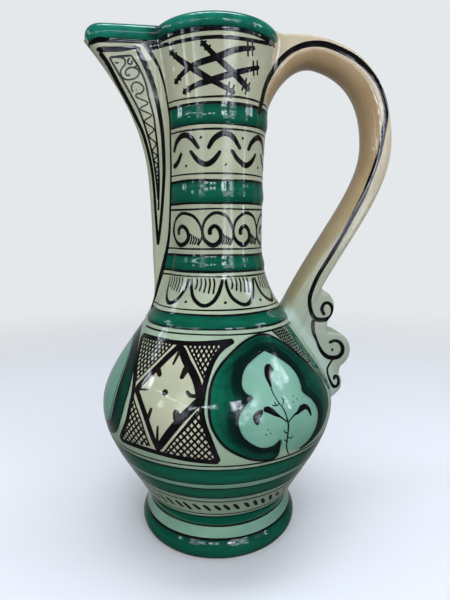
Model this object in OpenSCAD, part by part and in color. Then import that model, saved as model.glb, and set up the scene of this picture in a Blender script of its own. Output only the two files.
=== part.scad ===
// Ceramic pitcher: thrown body, beak spout, strap handle with a scroll tail.
// Millimetres. Z up, foot on z = 0, handle along +X, spout along -X.

/* [Body] */
// Height of the mouth wall, where the rim coil sits
wall_top_z = 308; // [280:1:330]
// Widest diameter of the belly
belly_d = 154; // [140:1:170]
// Height of the widest part of the belly
belly_z = 87; // [80:1:95]
// Diameter of the shoulder where it is steepest
shoulder_d = 106; // [98:1:112]
// Height of the steepest part of the shoulder
shoulder_z = 135; // [130:1:140]
// Diameter where the shoulder turns into the neck
neck_root_d = 71; // [66:1:78]
// Height where the shoulder turns into the neck
neck_root_z = 162; // [156:1:168]
// Diameter of the neck at its narrowest
neck_d = 60; // [54:1:66]
// Height of the narrowest part of the neck
neck_z = 215; // [205:1:230]
// Diameter at the top of the mouth wall
mouth_d = 77; // [73:1:84]
// Thickness of the wall
wall = 6; // [4.5:0.1:7]
// Thickness of the floor
floor_t = 8; // [6:0.5:12]
// How far each raised band stands out of the neck
bead_h = 0.8; // [0:0.1:1.5]

/* [Foot] */
// Widest diameter of the foot
foot_d = 106.5; // [98:0.5:116]
// Height of the foot
foot_h = 20; // [16:0.5:24]
// Diameter of the crease above the foot
waist_d = 95.5; // [90:0.5:100]
// Diameter of the hollow under the foot
hollow_d = 74; // [60:1:82]

/* [Rim] */
// Thickness of the coil round the mouth
rim_coil_d = 10; // [8:0.5:12]
// How far the coil stands out of the wall
rim_out = 1; // [0:0.5:2]
// Angle left open for the spout on each side of its middle
rim_gap = 16; // [13:0.5:20]

/* [Spout] */
// Distance from the axis to the keel at the top of the wall
spout_reach = 76; // [68:1:84]
// How far the keel stands out of the neck at its narrowest
keel_out = 10.5; // [7:0.5:14]
// Width of the beak where it leaves the shoulder
beak_low_w = 14; // [11:0.5:18]
// Width of the beak at the mouth
beak_top_w = 31; // [27:0.5:34]
// Radius of the keel at the mouth
nose_r = 9; // [8:0.5:11]
// Thickness of the wall of the spout
spout_wall = 4.5; // [3.5:0.1:5]
// Height where the pouring channel begins
channel_z = 228; // [215:1:245]
// Slope of the lip, in degrees
lip_slope = 5; // [2:0.5:10]
// Thickness of the coil along the lip
lip_coil_d = 10; // [8:0.5:11]

/* [Handle] */
// Width of the strap at the top
strap_w = 26; // [20:0.5:32]
// How much of its width the strap keeps at the lower end
strap_taper = 0.92; // [0.75:0.01:1]
// Thickness of the strap at the top
strap_t = 16.5; // [14:0.5:20]
// Thickness of the strap at the lower end
low_strap_t = 18.5; // [16:0.5:22]
// Height of the flat flank of the strap at the top
flank_h = 6.5; // [5:0.5:9]
// Height of the flat flank at the lower end
low_flank_h = 11; // [8:0.5:13]
// Distance from the axis to the middle of the strap at its widest
handle_reach = 105.5; // [97:0.5:113]
// Height of the widest part of the handle
handle_z = 253; // [243:1:261]
// How far the upper root spreads down the neck
root_flare = 37; // [24:1:44]
// Thickness of the scroll under the handle
scroll_t = 22; // [14:0.5:24]

/* [Hidden] */
$fn = 96;
cut = 1;
bevel = 3;
seam_z = belly_z - 14;
neck_seam_z = neck_root_z - 9;
rim_mid_r = mouth_d / 2 + rim_out - rim_coil_d / 2;
rim_mid_z = wall_top_z + rim_coil_d / 2 - 1;
keel_foot_z = neck_root_z - 13;
keel_waist_z = neck_root_z + 21;
keel_mid_z = neck_z + 18;
tail_z = [neck_root_z - 14, belly_z + 31, belly_z + 8];
tail_r = [12.3, 13, 9.8];
flare_end = 0.37;
crown = 2.5;
keel_slope = 0.8;

// Each station is a height, a radius and the slope of the wall there
foot_line = [[0, foot_d / 2 - 2.2, 0.9], [foot_h / 4, foot_d / 2, 0],
    [foot_h * 0.61, foot_d / 2 - 2.8, -0.42], [foot_h, waist_d / 2, -0.15]];
body_line = [[foot_h, waist_d / 2, 0.38], [belly_z, belly_d / 2, 0],
    [shoulder_z, shoulder_d / 2, -0.72], [neck_root_z, neck_root_d / 2, -0.44],
    [neck_z, neck_d / 2, 0], [wall_top_z, mouth_d / 2, 0.2]];
// Each band is the height of its middle and half its length
beads = [[neck_root_z - 15.5, 4.5], [neck_root_z + 17.5, 5.6], [neck_z + 6.8, 7.2],
    [wall_top_z - 43, 6.2]];

// Piece to show

function span(line, z) = min(len(line) - 2, max(0, len([for (s = line) if (s[0] <= z) 1]) - 1));
function curve(a, b, z) =
    let (w = b[0] - a[0], t = (z - a[0]) / w)
    a[1] * (1 - 3 * t * t + 2 * t * t * t) + b[1] * (3 * t * t - 2 * t * t * t)
    + a[2] * w * (t - 2 * t * t + t * t * t) + b[2] * w * (t * t * t - t * t);
function along(line, z) = let (i = span(line, z)) curve(line[i], line[i + 1], z);
function bead(t) = abs(t) < 1 ? bead_h * (1 - t * t) * (1 - t * t) : 0;
function bead_sum(z, i = 0) =
    i == len(beads) ? 0 : bead((z - beads[i][0]) / beads[i][1]) + bead_sum(z, i + 1);
function body_r(z) = along(body_line, z) + bead_sum(z);
function inner_r(z) =
    let (slope = along(body_line, z + 0.5) - along(body_line, z - 0.5))
    along(body_line, z) - wall * sqrt(1 + slope * slope);
function steps(from, to, n) = [for (i = [0:n]) from + (to - from) * i / n];
function outside(from, to, n) = [for (z = steps(from, to, n)) [body_r(z), z]];
function inside(from, to, n) = [for (z = steps(from, to, n)) [inner_r(z), z]];

module body_solid() {
    rotate_extrude()
        polygon(concat([[0, foot_h]], outside(foot_h, wall_top_z, 80), [[0, wall_top_z]]));
}

// Rings of points, each ring the same length, joined into one closed skin
module loft(rings) {
    n = len(rings[0]);
    m = len(rings);
    sides = [for (j = [0:m - 2], i = [0:n - 1])
        let (a = j * n + i, b = j * n + (i + 1) % n)
        each [[a, b + n, b], [a, a + n, b + n]]];
    caps = [[for (i = [0:n - 1]) i], [for (i = [0:n - 1]) m * n - 1 - i]];
    polyhedron([for (r = rings) each r], concat(sides, caps), convexity = 6);
}

// Half plane above the sloping lip of the spout
module above_lip() {
    translate([-rim_mid_r, 0, wall_top_z])
        rotate([0, lip_slope, 0])
            translate([-120, -60, 0])
                cube([160, 120, 60]);
}

keel_line = [[keel_foot_z, body_r(keel_foot_z), -0.3],
    [keel_waist_z, body_r(keel_waist_z) + keel_out, 0],
    [keel_mid_z, neck_d / 2 + keel_out + 2.7, 0.07], [wall_top_z, spout_reach, keel_slope]];

function rise(z) = (z - keel_foot_z) / (wall_top_z - keel_foot_z);
function beak_half(z) = (beak_low_w + (beak_top_w - beak_low_w) * rise(z)) / 2;
function keel_r(z) = 2.5 + (nose_r - 2.5) * rise(z);
function keel_x(z) = z > wall_top_z ? spout_reach + keel_slope * (z - wall_top_z) : along(keel_line, z);
// One level of the beak, from the neck round the keel and back, drawn in by skin
function beak_ring(z, back, skin) =
    let (half = beak_half(z) - skin, nose = max(keel_r(z) - skin, 0.8),
        mid = keel_x(z) - skin - nose, dx = back - mid,
        turn = atan2(dx, half) + acos(nose / norm([dx, half])))
    concat([[-back, half, z]],
        [for (i = [0:10]) let (a = turn + (180 - 2 * turn) * i / 10)
            [-mid - nose * sin(a), nose * cos(a), z]],
        [[-back, -half, z]]);

module beak_channel() {
    loft([for (z = steps(channel_z, wall_top_z + 14, 16))
        beak_ring(z, min(body_r(min(z, wall_top_z)) - wall - 3, keel_x(z) - 20), spout_wall)]);
}

// Path of the lip, along the middle of the spout wall on the sloping plane
function lip_path() =
    [for (p = beak_ring(wall_top_z - 2, rim_mid_r - 5, spout_wall / 2))
        [p[0], p[1], wall_top_z + (-p[0] - rim_mid_r) * tan(lip_slope)]];
function unit(v) = v / norm(v);
function lip_rings() =
    let (path = lip_path(), last = len(path) - 1)
    [for (i = [0:last])
        let (t = unit(path[min(i + 1, last)] - path[max(i - 1, 0)]), side = unit(cross(t, [0, 0, 1])),
            top = cross(side, t))
        [for (k = [0:15]) let (a = 360 * k / 16)
            path[i] + top * (lip_coil_d / 2 - 1) + (side * cos(a) + top * sin(a)) * lip_coil_d / 2]];

// Two curves carry the middle of the strap from the neck to the shoulder
top_curve = [[mouth_d / 2 - 20.5, wall_top_z - 2], [mouth_d / 2 + 27, wall_top_z + 10.5],
    [handle_reach, handle_z + 52], [handle_reach, handle_z]];
low_curve = [[handle_reach, handle_z], [handle_reach, handle_z - 32],
    [shoulder_d / 2 + 19, shoulder_z + 54], [shoulder_d / 2 - 4.7, shoulder_z + 2]];
function bezier(c, t) =
    c[0] * pow(1 - t, 3) + c[1] * 3 * t * pow(1 - t, 2) + c[2] * 3 * t * t * (1 - t) + c[3] * pow(t, 3);
function strap_at(q) = q < 1 ? bezier(top_curve, q) : bezier(low_curve, q - 1);
// Crowned back, flat flanks that spread down the neck at the root, and a domed inner face
function strap_ring(q) =
    let (p = strap_at(q), t = unit(strap_at(min(q + 0.01, 2)) - strap_at(max(q - 0.01, 0))), low = q / 2,
        half = strap_w * (1 + (strap_taper - 1) * low) / 2,
        thick = strap_t + (low_strap_t - strap_t) * low, top = thick / 2,
        flank = flank_h + (low_flank_h - flank_h) * low,
        flare = root_flare * pow(max(0, 1 - q / flare_end), 2))
    [for (e = concat(
        [for (i = [0:6]) let (v = 1 - i / 3) [top - crown * v * v, v * half]],
        [for (i = [0:14]) let (a = 180 * i / 14)
            [top - flank - flare - (thick - flank) * sin(a), -half * cos(a)]]))
        [p[0] - t[1] * e[0], e[1], p[1] + t[0] * e[0]]];

module strap() {
    loft([for (q = steps(0, 2, 48)) strap_ring(q)]);
}

// Three lobes under the strap, the last ones standing out of the belly
function lobe(i, from, to) =
    let (x = [shoulder_d / 2 + 13, belly_d / 2 + 0.5, belly_d / 2 - 1.5])
    [for (a = steps(from, to, 14)) [x[i] + tail_r[i] * cos(a), tail_z[i] + tail_r[i] * sin(a)]];

module scroll_plate() {
    rotate([90, 0, 0])
        linear_extrude(scroll_t, center = true)
            polygon(concat([strap_at(1.75)], lobe(0, 85, -50), lobe(1, 105, -62), lobe(2, 40, -90),
                [[belly_d / 2 - 12, tail_z[2] - tail_r[2]], strap_at(2)]));
}

module foot_ring() {
    color("darkgreen")
        rotate_extrude()
            polygon(concat([[hollow_d / 2, 0]],
                [for (z = steps(0, foot_h, 20)) [along(foot_line, z), z]],
                [[hollow_d / 2, foot_h]]));
}

module lower_bowl() {
    color("honeydew")
        rotate_extrude()
            polygon(concat([[0, foot_h]], outside(foot_h, seam_z, 32),
                inside(seam_z + bevel, foot_h + floor_t, 28), [[0, foot_h + floor_t]]));
}

module shoulder() {
    color("beige")
        rotate_extrude()
            polygon(concat(outside(seam_z, neck_seam_z, 32),
                inside(neck_seam_z + bevel, seam_z + bevel, 28)));
}

module neck() {
    color("ivory")
        difference() {
            rotate_extrude()
                polygon(concat(outside(neck_seam_z, wall_top_z, 70),
                    inside(wall_top_z, neck_seam_z + bevel, 40)));
            beak_channel();
        }
}

module rim_coil() {
    color("seagreen")
        rotate([0, 0, 180 + rim_gap])
            rotate_extrude(angle = 360 - 2 * rim_gap)
                intersection() {
                    translate([rim_mid_r, rim_mid_z])
                        circle(rim_coil_d / 2);
                    translate([0, wall_top_z])
                        square([mouth_d, 2 * rim_coil_d]);
                }
}

module spout() {
    color("palegreen")
        difference() {
            loft([for (z = steps(keel_foot_z, wall_top_z + 12, 30))
                beak_ring(z, min(body_r(min(z, wall_top_z)) - wall / 2, keel_x(z) - 9), 0)]);
            beak_channel();
            body_solid();
            above_lip();
            translate([0, 0, wall_top_z])
                cylinder(h = 40, r = rim_mid_r + rim_coil_d / 2);
        }
}

module lip_coil() {
    color("mediumseagreen")
        difference() {
            intersection() {
                loft(lip_rings());
                above_lip();
            }
            translate([0, 0, wall_top_z - cut])
                cylinder(h = 40, r = rim_mid_r + rim_coil_d / 2);
        }
}

module handle() {
    color("burlywood")
        difference() {
            strap();
            body_solid();
            rim_coil();
            translate([0, 0, wall_top_z - cut])
                cylinder(h = 40, r = rim_mid_r + rim_coil_d / 3);
        }
}

module handle_scroll() {
    color("tan")
        difference() {
            scroll_plate();
            body_solid();
            strap();
        }
}

foot_ring();
lower_bowl();
shoulder();
neck();
rim_coil();
spout();
lip_coil();
handle();
handle_scroll();
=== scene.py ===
import math
import random

import bpy
import numpy as np
from mathutils import Matrix, Vector
from mathutils.bvhtree import BVHTree


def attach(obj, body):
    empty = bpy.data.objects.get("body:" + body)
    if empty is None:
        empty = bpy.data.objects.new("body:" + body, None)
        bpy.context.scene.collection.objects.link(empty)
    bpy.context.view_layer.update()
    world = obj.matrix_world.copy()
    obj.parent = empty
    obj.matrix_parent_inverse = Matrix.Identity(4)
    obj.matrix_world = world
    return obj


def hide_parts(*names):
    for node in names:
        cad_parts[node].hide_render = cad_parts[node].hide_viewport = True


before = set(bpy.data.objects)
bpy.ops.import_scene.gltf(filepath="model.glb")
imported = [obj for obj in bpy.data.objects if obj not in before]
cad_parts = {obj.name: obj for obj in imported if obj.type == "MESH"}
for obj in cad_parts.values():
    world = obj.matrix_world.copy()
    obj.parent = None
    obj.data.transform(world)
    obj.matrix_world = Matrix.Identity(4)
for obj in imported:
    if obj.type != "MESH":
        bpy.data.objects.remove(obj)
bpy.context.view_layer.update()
mm = 0.001
weldGap = 0.004  # mm
hand = random.Random(7)  # small unevenness of a brush held by hand, the same every run
print("frame loaded:", sorted(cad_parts))


# small helpers for modelling


def deselectAll():
    if bpy.context.object and bpy.context.object.mode != "OBJECT":
        bpy.ops.object.mode_set(mode="OBJECT")
    bpy.ops.object.select_all(action="DESELECT")


def pick(piece):
    deselectAll()
    piece.select_set(True)
    bpy.context.view_layer.objects.active = piece


def closeUp(piece, fillEnds=False, weld=True):
    # welds the seam, caps open ends and turns every face outwards
    pick(piece)
    bpy.ops.object.mode_set(mode="EDIT")
    bpy.ops.mesh.select_all(action="SELECT")
    if weld:
        bpy.ops.mesh.remove_doubles(threshold=weldGap * mm)
    if fillEnds:
        bpy.ops.mesh.fill_holes(sides=0)
    bpy.ops.mesh.select_all(action="SELECT")
    bpy.ops.mesh.normals_make_consistent(inside=False)
    bpy.ops.object.mode_set(mode="OBJECT")


def smoothShade(piece, angle=35):
    pick(piece)
    bpy.ops.object.shade_smooth_by_angle(angle=math.radians(angle))


def applyModifier(piece, kind, **settings):
    pick(piece)
    made = piece.modifiers.new(kind.lower(), kind)
    for key, value in settings.items():
        setattr(made, key, value)
    bpy.ops.object.modifier_apply(modifier=made.name)


def joinClay(piece, other, operation):
    # adds another solid to the piece or cuts it away, and drops it
    applyModifier(piece, "BOOLEAN", operation=operation, object=other, solver="EXACT")
    bpy.data.objects.remove(other)


def meldClay(piece, voxel, rounds):
    # one lump of clay out of joined solids, its edges wiped round
    applyModifier(piece, "REMESH", mode="VOXEL", voxel_size=voxel * mm)
    applyModifier(piece, "SMOOTH", factor=0.5, iterations=rounds)
    pick(piece)
    bpy.ops.object.shade_smooth()


def turnOnWheel(name, profile, turns):
    # one vertex drawn along the profile by extruding, then spun like clay on a wheel
    deselectAll()
    bpy.ops.mesh.primitive_plane_add(size=mm)
    piece = bpy.context.object
    piece.name = name
    bpy.ops.object.mode_set(mode="EDIT")
    bpy.ops.mesh.merge(type="CENTER")
    points = [Vector((r * mm, 0, z * mm)) for r, z in profile]
    bpy.ops.transform.translate(value=points[0])
    for last, following in zip(points, points[1:]):
        bpy.ops.mesh.extrude_vertices_move(TRANSFORM_OT_translate={"value": following - last})
    bpy.ops.mesh.select_all(action="SELECT")
    bpy.ops.mesh.spin(steps=turns, angle=2 * math.pi, center=(0, 0, 0), axis=(0, 0, 1))
    bpy.ops.object.mode_set(mode="OBJECT")
    closeUp(piece)
    smoothShade(piece)
    return piece


def loftGrid(name, rows):
    # a grid pulled into a closed tube row by row, every row the same number of points in mm
    table = np.array(rows, float)
    table = np.concatenate([table, table[:, :1]], axis=1)
    deselectAll()
    bpy.ops.mesh.primitive_grid_add(x_subdivisions=table.shape[1] - 1, y_subdivisions=table.shape[0] - 1)
    piece = bpy.context.object
    piece.name = name
    piece.data.vertices.foreach_set("co", (table.reshape(-1, 3) * mm).ravel())
    piece.data.update()
    closeUp(piece, fillEnds=True)
    smoothShade(piece)
    return piece


def steps(low, high, count):
    return [low + (high - low) * i / count for i in range(count + 1)]


def easeIn(low, high, x):
    t = min(1, max(0, (x - low) / (high - low)))
    return t * t * (3 - 2 * t)


def evenSteps(points, count):
    # the same line with its points evenly spaced
    line = np.array(points, float)
    run = np.concatenate([[0], np.cumsum(np.linalg.norm(np.diff(line, axis=0), axis=1))])
    at = np.linspace(0, run[-1], count)
    return np.stack([np.interp(at, run, line[:, i]) for i in range(line.shape[1])], axis=1)


# the thrown pieces: foot, bowl, shoulder and neck, in mm

thrown = dict(
    footHeight=20, wall=6, floorThickness=8, bellySeam=73, neckSeam=153, wallTop=308, hollow=37,
    slopeLow=21, slopeHigh=307,  # heights between which the slope of the wall is measured
    line=((20, 47.75, 0.38), (87, 77, 0), (135, 53, -0.72), (162, 35.5, -0.44), (215, 30, 0), (308, 38.5, 0.2)),
    foot=((0, 51.05, 0.9), (5, 53.25, 0), (8.6, 52.55, -0.45), (10.8, 51.05, -0.85), (13, 49.9, -0.35),
          (20, 47.75, -0.15)),
    beads=((146.5, 4.5), (179.5, 5.6), (221.8, 7.2), (265, 6.2)), beadHeight=0.8,
)
greenBands = ((-1, 12.1), (19.9, 28.3), (47.2, 56), (60, 71), (142.8, 150.2), (174.6, 184.4), (215.3, 228.3),
              (259.5, 270.3))
# heights and degrees where the neck's painting stops beside the beak
lineEdge = ((143, 160.4), (149, 176), (157.6, 176.6), (165.5, 174.6), (173.2, 172.3), (183.2, 169.4), (196.2, 165.2),
            (208.5, 162.2), (219.6, 160), (234.5, 156.8), (249, 154.3), (264.4, 151.6), (274.3, 152.2), (282.6, 153.2),
            (292.4, 155.8), (302, 160), (308, 162))


def edgeAt(z):
    return np.interp(z, *zip(*lineEdge))


def alongLine(line, z):
    # smooth curve through stations of height, radius and slope
    i = 0
    while i < len(line) - 2 and z >= line[i + 1][0]:
        i += 1
    (z0, r0, m0), (z1, r1, m1) = line[i], line[i + 1]
    w = z1 - z0
    t = (z - z0) / w
    t2, t3 = t * t, t * t * t
    return (r0 * (1 - 3 * t2 + 2 * t3) + r1 * (3 * t2 - 2 * t3)
            + m0 * w * (t - 2 * t2 + t3) + m1 * w * (t3 - t2))


def plainRadius(z):
    return alongLine(thrown["line"], z) if z > thrown["footHeight"] else alongLine(thrown["foot"], z)


def bodyRadius(z):
    raised = 0
    for middle, half in thrown["beads"]:
        t = (z - middle) / half
        if abs(t) < 1:
            t = (t + 0.35) / (1.35 if t > -0.35 else 0.65)  # fuller below, a long slope above
            raised += thrown["beadHeight"] * (1 - t * t) ** 2
    return plainRadius(z) + raised


def wallAt(z):
    return plainRadius(min(max(z, 0), thrown["wallTop"]))


def wallSlope(z):
    return plainRadius(z + 0.5) - plainRadius(z - 0.5)


def onSlope(z):
    return min(max(z, thrown["slopeLow"]), thrown["slopeHigh"])


def innerRadius(z):
    return plainRadius(z) - thrown["wall"] * math.hypot(1, wallSlope(z))


def ringHeights(low, high, gap):
    # even rings, with two more close together at every edge of a painted band
    edges = [e for band in greenBands for e in band if low + 0.6 < e < high - 0.6]
    heights = [z for z in steps(low, high, round((high - low) / gap)) if all(abs(z - e) > 0.45 for e in edges)]
    return sorted(heights + [e + d for e in edges for d in (-0.22, 0.22)])


def buildThrown():
    t = thrown
    low, seam, high, top = t["footHeight"], t["bellySeam"], t["neckSeam"], t["wallTop"]
    foot = [(t["hollow"], 1.2), (t["hollow"] + 1.2, 0)]
    foot += [(alongLine(t["foot"], z), z) for z in ringHeights(0, low, 0.7)]
    foot += [(t["hollow"], low), (t["hollow"], 1.2)]
    footRoll = turnOnWheel("foot_roll", foot, 240)

    floor = low + t["floorThickness"]
    bowl = [(0, low)] + [(bodyRadius(z), z) for z in ringHeights(low, seam, 1.2)]
    bowl += [(innerRadius(z), z) for z in steps(seam + 3, floor, 18)] + [(0, floor)]
    bellyBowl = turnOnWheel("belly_bowl", bowl, 240)

    crown = [(bodyRadius(z), z) for z in ringHeights(seam, high, 1)]
    crown += [(innerRadius(z), z) for z in steps(high + 3, seam + 3, 24)]
    bellyCrown = turnOnWheel("belly_crown", crown + crown[:1], 360)

    tube = [(bodyRadius(z), z) for z in ringHeights(high, top, 1.2)]
    tube += [(innerRadius(z), z) for z in steps(top, high + 3, 40)]
    neckTube = turnOnWheel("neck_tube", tube + tube[:1], 240)
    for v in neckTube.data.vertices:  # raised bands die out beside the beak
        x, y, z = v.co / mm
        r = math.hypot(x, y)
        plain = plainRadius(z)
        if x < 0 and r > plain + 0.001:
            off = math.degrees(math.atan2(abs(y), -x))
            edge = 180 - edgeAt(z)
            kept = plain + (r - plain) * easeIn(edge - 1, edge + 5, off)
            v.co.x *= kept / r
            v.co.y *= kept / r
    return footRoll, bellyBowl, bellyCrown, neckTube


# the beak: a keel down the neck, open channel above

beak = dict(
    foot=149, top=308, lowWidth=14, topWidth=31, keelFoot=2.5, nose=9, wall=4.5, channel=228, fillet=5,
    keel=((149, 43.4, -0.3), (183, 41.65, 0), (233, 43.2, 0.07), (308, 76, 0.8)),
    skinPoints=97, channelPoints=41,
    lipSlope=5, lipCoil=10, lipPoints=90, lipBed=0.7, rimCoil=10, rimMiddle=34.5, rimGap=16,
    tip=(60, 72), tipSwell=1.4, tipDrop=1.6,  # the lip's roll swells and hangs a little at the tip
)


def beakRise(z):
    return (z - beak["foot"]) / (beak["top"] - beak["foot"])


def keelReach(z):
    top, reach, slope = beak["keel"][-1]
    return alongLine(beak["keel"], z) if z < top else reach + slope * (z - top)


def beakShape(z, back, skin):
    # half width at the back, nose radius, nose centre and the turn of the flank
    half = (beak["lowWidth"] + (beak["topWidth"] - beak["lowWidth"]) * beakRise(z)) / 2 - skin
    nose = max(beak["keelFoot"] + (beak["nose"] - beak["keelFoot"]) * beakRise(z) - skin, 0.8)
    middle = max(keelReach(z) - skin - nose, back + 1.5)
    dx = back - middle
    turn = math.atan2(dx, half) + math.acos(min(1, nose / math.hypot(dx, half)))
    return half, nose, middle, turn


def beakSkin(z, count):
    # outer line of the beak at one height, running out flush on the neck at both ends
    neckR = wallAt(z)
    back = min(neckR - 3, keelReach(z) - 9)
    half, nose, middle, turn = beakShape(z, back, 0)
    reach = back * math.sin(turn) + half * math.cos(turn)
    tangent = math.atan2(nose * math.cos(turn), middle + nose * math.sin(turn))
    k = beak["fillet"]
    line = []
    for a in map(math.radians, steps(-46, 46, 400)):
        b = abs(a)
        if b > tangent:
            r = reach / math.sin(turn + b)
        else:
            r = middle * math.cos(b) + math.sqrt(max(0, nose ** 2 - (middle * math.sin(b)) ** 2))
        h = min(1, max(0, 0.5 + 0.5 * (r - neckR) / k))
        joined = neckR + (r - neckR) * h + k * h * (1 - h)
        joined -= 0.2 * math.exp(-max(0, joined - neckR) / 0.25)
        if r > neckR - k - 0.5:
            line.append((-joined * math.cos(a), joined * math.sin(a)))
    if len(line) < 12:
        edge = math.radians(9)
        line = [(-(neckR - 0.2) * math.cos(a), (neckR - 0.2) * math.sin(a)) for a in steps(-edge, edge, 24)]
    return evenSteps(line, count)


def channelLine(z, count):
    # inner line of the beak: a chord in the neck wall low down, the pouring channel higher up
    back = wallAt(z) - thrown["wall"] - 1
    half, nose, middle, turn = beakShape(z, back, beak["wall"])
    opened = easeIn(beak["channel"], beak["channel"] + 30, z)
    loop = [(-back, half)]
    for a in steps(turn, math.pi - turn, 24):
        x = middle + nose * math.sin(a)
        width = nose if opened else half
        loop.append((-(back + 0.5 + (x - back - 0.5) * opened), width * math.cos(a)))
    return evenSteps(loop + [(-back, -half)], count)


def buildBeak(neckTube):
    rows = []
    for z in ringHeights(143, beak["top"] + 16, 1.4):
        ring = (*beakSkin(z, beak["skinPoints"]), *channelLine(z, beak["channelPoints"]))
        rows.append([(x, y, z) for x, y in ring])
    made = loftGrid("beak", rows)
    slope = math.radians(beak["lipSlope"])
    pick(made)
    bpy.ops.object.mode_set(mode="EDIT")
    bpy.ops.mesh.select_all(action="SELECT")
    bpy.ops.mesh.bisect(
        plane_co=(-beak["rimMiddle"] * mm, 0, beak["top"] * mm), plane_no=(math.sin(slope), 0, math.cos(slope)),
        use_fill=True, clear_outer=True)
    bpy.ops.object.mode_set(mode="OBJECT")
    closeUp(made)
    smoothShade(made)

    rows = []
    for z in steps(beak["channel"] + 4, beak["top"] + 20, 40):  # slot through the neck behind the channel
        line = channelLine(z, beak["channelPoints"])
        back = wallAt(z) - thrown["wall"] - 4
        half = abs(line[0][1])
        rows.append([(-back, half, z)] + [(x, y, z) for x, y in line] + [(-back, -half, z)])
    cutter = loftGrid("cutter", rows)
    joinClay(neckTube, cutter, "DIFFERENCE")
    smoothShade(neckTube)
    return made


# rolled coils round the mouth and along the lip


def coilRing(centre, along, radius):
    side = along.cross(Vector((0, 0, 1))).normalized()
    up = side.cross(along).normalized()
    return [centre + (side * math.cos(a) + up * math.sin(a)) * radius for a in steps(0, 2 * math.pi, 32)[:-1]]


def buildRim():
    b = beak
    radius = b["rimCoil"] / 2
    lift = thrown["wallTop"] + radius - 1
    rows = []
    for a in map(math.radians, steps(180 + b["rimGap"], 540 - b["rimGap"], 200)):
        centre = Vector((math.cos(a) * b["rimMiddle"], math.sin(a) * b["rimMiddle"], lift))
        rows.append(coilRing(centre, Vector((-math.sin(a), math.cos(a), 0)), radius))
    made = loftGrid("rolled_rim", rows)

    slope = math.tan(math.radians(b["lipSlope"]))
    radius = b["lipCoil"] / 2
    half, nose, middle, turn = beakShape(b["top"] - 2, b["rimMiddle"] - 5, b["wall"] / 2)
    path = [(-(b["rimMiddle"] - 5), half)]
    path += [(-middle - nose * math.sin(a), nose * math.cos(a)) for a in steps(turn, math.pi - turn, 24)]
    path = evenSteps(path + [(-(b["rimMiddle"] - 5), -half)], b["lipPoints"])
    path = [Vector((x, y, b["top"] + (-x - b["rimMiddle"]) * slope)) for x, y in path]
    rows = []
    for i, p in enumerate(path):
        along = (path[min(i + 1, len(path) - 1)] - path[max(i - 1, 0)]).normalized()
        up = along.cross(Vector((0, 0, 1))).cross(along).normalized()
        tip = easeIn(*b["tip"], -p.x)
        lift = radius - b["lipBed"] - b["tipDrop"] * tip
        rows.append(coilRing(p + up * lift, along, radius + b["tipSwell"] * tip))
    lip = loftGrid("lip", rows)
    joinClay(made, lip, "UNION")
    meldClay(made, 0.6, 18)  # one roll, pinched where lip meets rim
    return made


# the strap handle and its scroll

strap = dict(
    width=26, taper=0.92, thickness=(16.5, 18.5), flank=(6.5, 11), crown=2.5, flare=37, flareEnd=0.37,
    scroll=22, lowFillet=6, topFillet=5,
    upper=((18, 306), (65.5, 318.5), (105.5, 305), (105.5, 253)),
    lower=((105.5, 253), (105.5, 221), (72, 189), (48.3, 137)),
    lobes=((66, 148, 12.3, 85, -50), (77.5, 118, 13, 105, -62), (75.5, 95, 9.8, 40, -90)),
)


def bezier(c, t):
    u = 1 - t
    return [c[0][i] * u ** 3 + c[1][i] * 3 * t * u * u + c[2][i] * 3 * t * t * u + c[3][i] * t ** 3 for i in (0, 1)]


def strapAt(q):
    return Vector(bezier(strap["upper"], q) if q < 1 else bezier(strap["lower"], q - 1))


def strapTurn(q):
    return (strapAt(min(q + 0.01, 2)) - strapAt(max(q - 0.01, 0))).normalized()


def strapSize(q):
    # thickness and depth of the flat flank at one place along the strap
    return [low + (high - low) * q / 2 for low, high in (strap["thickness"], strap["flank"])]


def strapArris(q):
    # how far out the flat flank ends; the flanks spread down the neck
    thick, flank = strapSize(q)
    return thick / 2 - flank - strap["flare"] * max(0, 1 - q / strap["flareEnd"]) ** 2


def strapRing(q):
    p, t = strapAt(q), strapTurn(q)
    half = strap["width"] * (1 + (strap["taper"] - 1) * q / 2) / 2
    thick, flank = strapSize(q)
    edge = thick / 2 - strap["crown"]
    arris = strapArris(q)
    section = [(thick / 2 - strap["crown"] * v * v, v * half) for v in steps(1, -1, 12)]
    section += [(edge + (arris - edge) * h, -half) for h in (0.25, 0.5, 0.75)]
    section += [(arris - (thick - flank) * math.sin(a), -half * math.cos(a)) for a in steps(0, math.pi, 28)]
    section += [(edge + (arris - edge) * h, half) for h in (0.75, 0.5, 0.25)]
    return [(p.x - t.y * u, v, p.y + t.x * u) for u, v in section]


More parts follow.
